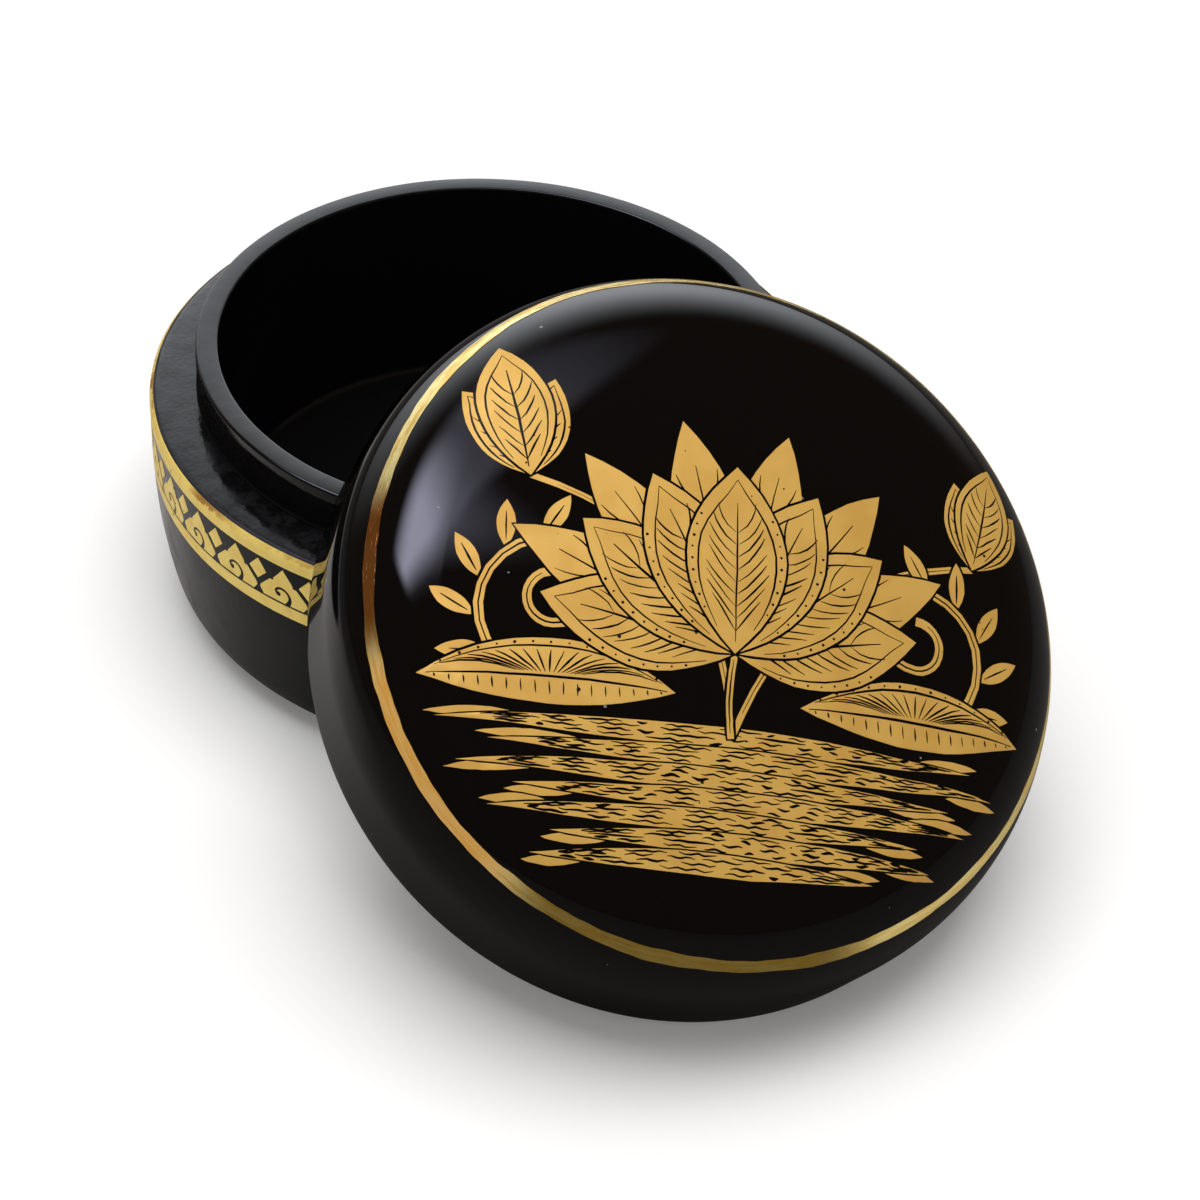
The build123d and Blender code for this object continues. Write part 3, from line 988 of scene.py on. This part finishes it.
def lidLineProfile():
    corner = lidSet["corner"]
    centre = (lidSet["radius"] - corner, lidSet["cornerHeight"])
    half = math.degrees(lineSet["width"] / 2 / corner)
    start = 90 - lineSet["slope"] - half
    under = arcPoints(centre, corner + goldSet["lift"], start, 2 * half, 6)
    over = arcPoints(centre, corner + goldSet["lift"] + goldSet["thickness"], start, 2 * half, 6)
    return under + over[::-1] + [under[0]]


def paintEdges(piece):
    # The brush ran a little wide and narrow: each edge of the line wanders along the lid's corner
    corner = lidSet["corner"]
    middle = math.radians(90 - lineSet["slope"])
    half = lineSet["width"] / 2 / corner
    brushed = piece.data.attributes.new("brushed", "FLOAT_VECTOR", "POINT")
    rate = lineSet["wanderRound"]
    for vertex in piece.data.vertices:
        turn = math.atan2(vertex.co.y, vertex.co.x)
        east, north = math.cos(turn), math.sin(turn)
        out = math.hypot(vertex.co.x, vertex.co.y) / mm - (lidSet["radius"] - corner)
        up = vertex.co.z / mm - lidSet["cornerHeight"]
        reach = math.hypot(out, up)
        share = (math.atan2(up, out) - middle) / half
        painted = (east * streaksRound, north * streaksRound, share * streaksAcross)
        brushed.data[vertex.index].vector = painted
        place = Vector((east * rate, north * rate, lineSet["edgesApart"] if share > 0 else 0))
        uneven = noise.noise(place) + 0.4 * noise.noise(place * 4)
        wander = uneven * lineSet["wander"] * min(abs(share), 1)
        for side, shift in lineSet["strays"]:
            wander -= shift * max(math.cos(turn - math.radians(side)), 0)**lineSet["strayPower"]
        slope = middle + share * half + wander / corner
        out = lidSet["radius"] - corner + reach * math.cos(slope)
        up = lidSet["cornerHeight"] + reach * math.sin(slope)
        vertex.co = (out * east * mm, out * north * mm, up * mm)
    piece.data.update()


lidLine = turnOnLathe("lidLine", lidLineProfile(), lineSteps)
paintEdges(lidLine)
moveMesh(lidLine, lidPlace)
handIn(lidLine, "lid", "gold_line", lineGold, "lid_line")

lilySet = {  # mm
    "margin": 1.5,  # black ring between the picture's field and the gold line
    "grid": 1.6,  # of the triangles that bend the gold over the lid
    "turn": -24.0,  # degrees about the lid's axis
    "gap": 0.40,  # black line between shapes
    "line": 0.34,  # engraved line, and its ends as a share of that
    "lineEnd": 0.35,
    "dot": 0.22,
    "wobble": 0.22,  # unevenness of the hand that drew it
    "flowerBase": (-1.0, -11.0),
    "flowerHeight": 38.0,
    "leftBud": (136, 23.0, -12),  # where its tip points, height, lean
    "rightBud": (33, 20.0, 14),
    "budInset": 1.0,
    "stem": 1.0,
    "padLength": 38.0,
    "padHeight": 10.0,
    "padLift": 6.0,
    "padInset": 2.5,
    "scroll": 22.0,
    "water": -24.0,
    "waterInset": 6.0,
    "rippleWidth": 3.3,
    "rippleSpacing": 3.1,
    "rippleShift": 3.0,
    "rippleCount": 7,
}
lineInner = math.radians(lineSet["slope"]) - lineSet["width"] / 2 / lidSet["corner"]
fieldRadius = lidSet["radius"] - lidSet["corner"] * (1 - math.sin(lineInner)) - lilySet["margin"]
hand = random.Random(12)  # the same picture each time


def bowLine(start, end, bulge):
    # A bowed line; its middle stands bulge to the left of the straight way
    start, end = Vector(start), Vector(end)
    along = end - start
    side = Vector((-along.y, along.x)).normalized()
    shares = [k / 14 for k in range(15)]
    return [start + along * t + side * bulge * 4 * t * (1 - t) for t in shares]


def towards(angle):
    return Vector((math.cos(math.radians(angle)), math.sin(math.radians(angle))))


def onLeaf(leaf, share, across):
    # Point of a leaf: its share of the way to the tip, and -1 to 1 from edge to edge
    length, width, turn, base = leaf
    along = towards(90 - turn)
    side = Vector((-along.y, along.x))
    return Vector(base) + along * length * share + side * across * width * 2 * share * (1 - share)


def leafOutline(leaf, steps=14):
    right = [onLeaf(leaf, k / steps, -1) for k in range(steps)]
    return right + [onLeaf(leaf, 1 - k / steps, 1) for k in range(steps)]


def engrave(shapes, line, width=1.0):
    # A line scratched through the gold, thin at both ends
    wide = lilySet["line"] * width * hand.uniform(0.8, 1.25)
    thin = wide * lilySet["lineEnd"]
    shapes.append((strokeOutline(line, thin, wide, thin), False))


def engraveDot(shapes, place):
    turn = hand.uniform(0, 72)
    radius = lilySet["dot"] * hand.uniform(0.75, 1.3)
    shapes.append(([Vector(point) for point in arcPoints(place, radius, turn, 288, 4)], False))


def put(shapes, outline, gap=None):
    # A gold shape with a black line round it
    shapes.append((grown(outline, gap or lilySet["gap"]), False))
    shapes.append((outline, True))


def putLeaf(shapes, leaf, ribs, border=True, dots=0):
    # Petal or leaf with a double edge, a middle rib and ribs that sweep up to the edge
    put(shapes, leafOutline(leaf))
    inner = 0.80 if border else 1.0
    if border:
        for side in (-1, 1):
            edge = [(0.13 + 0.80 * k / 10, side * inner * (1 - (k / 10)**6)) for k in range(11)]
            engrave(shapes, [onLeaf(leaf, *place) for place in edge])
    engrave(shapes, [onLeaf(leaf, 0.06 + 0.74 * k / 8, 0) for k in range(9)], 1.2)
    for rib in range(ribs):
        start = 0.12 + 0.58 * rib / ribs
        for side in (-1, 1):
            end = start + 0.17 + hand.uniform(-0.015, 0.015)
            reach = side * (inner - 0.22 + hand.uniform(-0.05, 0.05))
            line = []
            for k in range(5):
                across = reach * (k / 4)**0.75 + side * 0.03
                line.append(onLeaf(leaf, start + (end - start) * k / 4, across))
            engrave(shapes, line, 0.85)
    for dot in range(dots):
        for side in (-1, 1):
            engraveDot(shapes, onLeaf(leaf, 0.22 + 0.56 * dot / dots, side * 0.90))


def putBud(shapes, base, height, lean):
    for side in (-1, 1):
        putLeaf(shapes, (height * 0.75, height * 0.34, lean + side * 24, base), 4)
    putLeaf(shapes, (height, height * 0.5, lean, base), 6)


def putPad(shapes, middle, length, height):
    # Floating leaf seen from the side: ribs fan out over its top, short strokes shade its turned edge
    x, y = middle
    low = bowLine((x - length / 2, y), (x + length / 2, y), -height * 0.35)
    high = bowLine((x + length / 2, y), (x - length / 2, y), -height * 0.65)
    put(shapes, low[:-1] + high[:-1])

    def spot(u, v):
        # v is 0 at the lip, 1 at the far edge and -1 at the near edge
        rise = 0.06 + (0.59 * v if v > 0 else 0.41 * v)
        return Vector((x + u * length / 2, y + height * rise * (1 - u * u)))

    engrave(shapes, [spot(-0.93 + 0.155 * k, 0) for k in range(13)], 1.2)
    engrave(shapes, [spot(-0.88 + 0.147 * k, 0.80) for k in range(13)])
    for rib in range(-8, 9):
        u = rib / 9.5
        engrave(shapes, [spot(u * (0.30 + 0.70 * k / 4), 0.12 + 0.58 * k / 4) for k in range(5)], 0.9)
        engrave(shapes, [spot(u * 1.04 + 0.004 * k, -0.18 - 0.16 * k) for k in range(4)], 0.8)
    for dot in range(-6, 7):
        engraveDot(shapes, spot(dot / 7.2, 0.90))


def putScroll(shapes, foot, side, size):
    # Stem that winds in on itself, with small leaves along its back
    radius = size / 2
    turns = [(radius, radius, -90, 180), (2 * radius - 0.6 * radius, 0.6 * radius, 90, 180)]
    turns.append((0.8 * radius + 0.36 * radius, 0.36 * radius, -90, 180))
    line = []
    for middle, reach, start, turn in turns:
        line += arcPoints((0, middle), reach, start, turn, 12)[1 if line else 0:]
    line = [Vector((foot[0] + side * point[0], foot[1] + point[1])) for point in line]
    for angle in range(-40, 110, 30):
        reach = radius + lilySet["stem"] / 2
        start = (reach * math.cos(math.radians(angle)), radius + reach * math.sin(math.radians(angle)))
        base = (foot[0] + side * start[0], foot[1] + start[1])
        leaf = (size * 0.36, size * 0.13, side * (50 - angle), base)
        put(shapes, leafOutline(leaf, 10))
        engrave(shapes, [onLeaf(leaf, 0.15 + 0.15 * k, 0) for k in range(5)])
    wide = 1.4 * lilySet["stem"]
    put(shapes, strokeOutline(line, wide, wide, wide))
    engrave(shapes, line[1:-2], 0.9)


def putRipple(shapes, start, length, width, y):
    # Low wave with broken lines along it and frayed ends
    leaf = (length, width, 90, (start, y))
    for side in (-1, 1):
        end = start if side < 0 else start + length
        fray = length * hand.uniform(0.12, 0.20)
        rise = hand.choice((-1, 1)) * width * hand.uniform(0.20, 0.34)
        tuft = (end - fray * (0.12 if side < 0 else 0.88), y + rise)
        put(shapes, leafOutline((fray, width * 0.45, 90, tuft)), 0.22)
    put(shapes, leafOutline(leaf, 24), 0.24)
    for row in (-0.62, -0.12, 0.36, 0.74):
        x = start + length * hand.uniform(0.07, 0.12)
        while x < start + length * 0.90:
            run = hand.uniform(1.2, 8.5)
            points = []
            for k in range(7):
                share = (x + run * k / 6 - start) / length
                if 0.03 < share < 0.97:
                    ripple = 0.09 * math.sin((x + run * k / 6) * 2.3 + row * 9)
                    points.append(onLeaf(leaf, share, row + ripple))
            if len(points) > 2:
                engrave(shapes, points, 1.0 if run > 3 else 1.3)
            x += run + hand.uniform(0.7, 3.0)


def fieldHalf(y):
    return math.sqrt(fieldRadius**2 - y**2)


def budBase(angle, height, lean):
    # Where a bud starts when its tip points to the edge of the field
    reach = fieldRadius - lilySet["budInset"]
    return towards(angle) * reach - towards(90 - lean) * height


def drawnByHand(point):
    # The whole drawing wanders a little, as a brush does
    place = Vector((point[0], point[1], 0))
    slow = noise.noise_vector(place * 0.12) * lilySet["wobble"]
    quick = noise.noise_vector(place * 0.9 + Vector((7, 3, 1))) * lilySet["wobble"] * 0.35
    return Vector((point[0] + slow.x + quick.x, point[1] + slow.y + quick.y))


def pictureShapes():
    # From back to front
    shapes = []
    base = lilySet["flowerBase"]
    height = lilySet["flowerHeight"]
    for step in range(lilySet["rippleCount"]):
        y = lilySet["water"] - lilySet["rippleSpacing"] * step
        length = 2 * (fieldHalf(y) - lilySet["waterInset"])
        shift = lilySet["rippleShift"] * (1 if step % 2 else -1)
        putRipple(shapes, shift - length / 2, length, lilySet["rippleWidth"], y)
    buds = []
    for name in ("leftBud", "rightBud"):
        angle, tall, lean = lilySet[name]
        buds.append((budBase(angle, tall, lean), tall, lean))
    root = (base[0], lilySet["water"])
    for end, bulge in ((buds[1][0], 8), (buds[0][0], -9), (base, 0.6)):
        line = bowLine(root, end, bulge)
        put(shapes, strokeOutline(line, *[lilySet["stem"]] * 3))
        engrave(shapes, line[1:-1], 0.7)
    padMiddle = lilySet["water"] + lilySet["padLift"]
    padReach = fieldHalf(padMiddle) - lilySet["padInset"] - lilySet["padLength"] / 2
    for side in (-1, 1):
        putScroll(shapes, (side * padReach, padMiddle), side, lilySet["scroll"])
    for side in (-1, 1):
        putPad(shapes, (side * padReach, padMiddle), lilySet["padLength"], lilySet["padHeight"])
    for bud in buds[::-1]:
        putBud(shapes, *bud)
    for turn in (64, 39, 13):
        for side in (-1, 1):
            putLeaf(shapes, (height, height * 0.30, side * turn, base), 6, False)
    for turn in (78, 52, 26):
        for side in (-1, 1):
            putLeaf(shapes, (height * 0.80, height * 0.36, side * turn, base), 8, True, 8)
    putLeaf(shapes, (height * 0.80, height * 0.42, 0, base), 9, True, 9)
    turn = Matrix.Rotation(math.radians(lilySet["turn"]), 2)
    return [([turn @ drawnByHand(point) for point in outline], isGold) for outline, isGold in shapes]


picture = layGold("picture", pictureShapes(), lilySet["grid"], onLid)
handIn(picture, "lid", "gold_picture", pictureGold, "lid_picture")
print("gold laid")
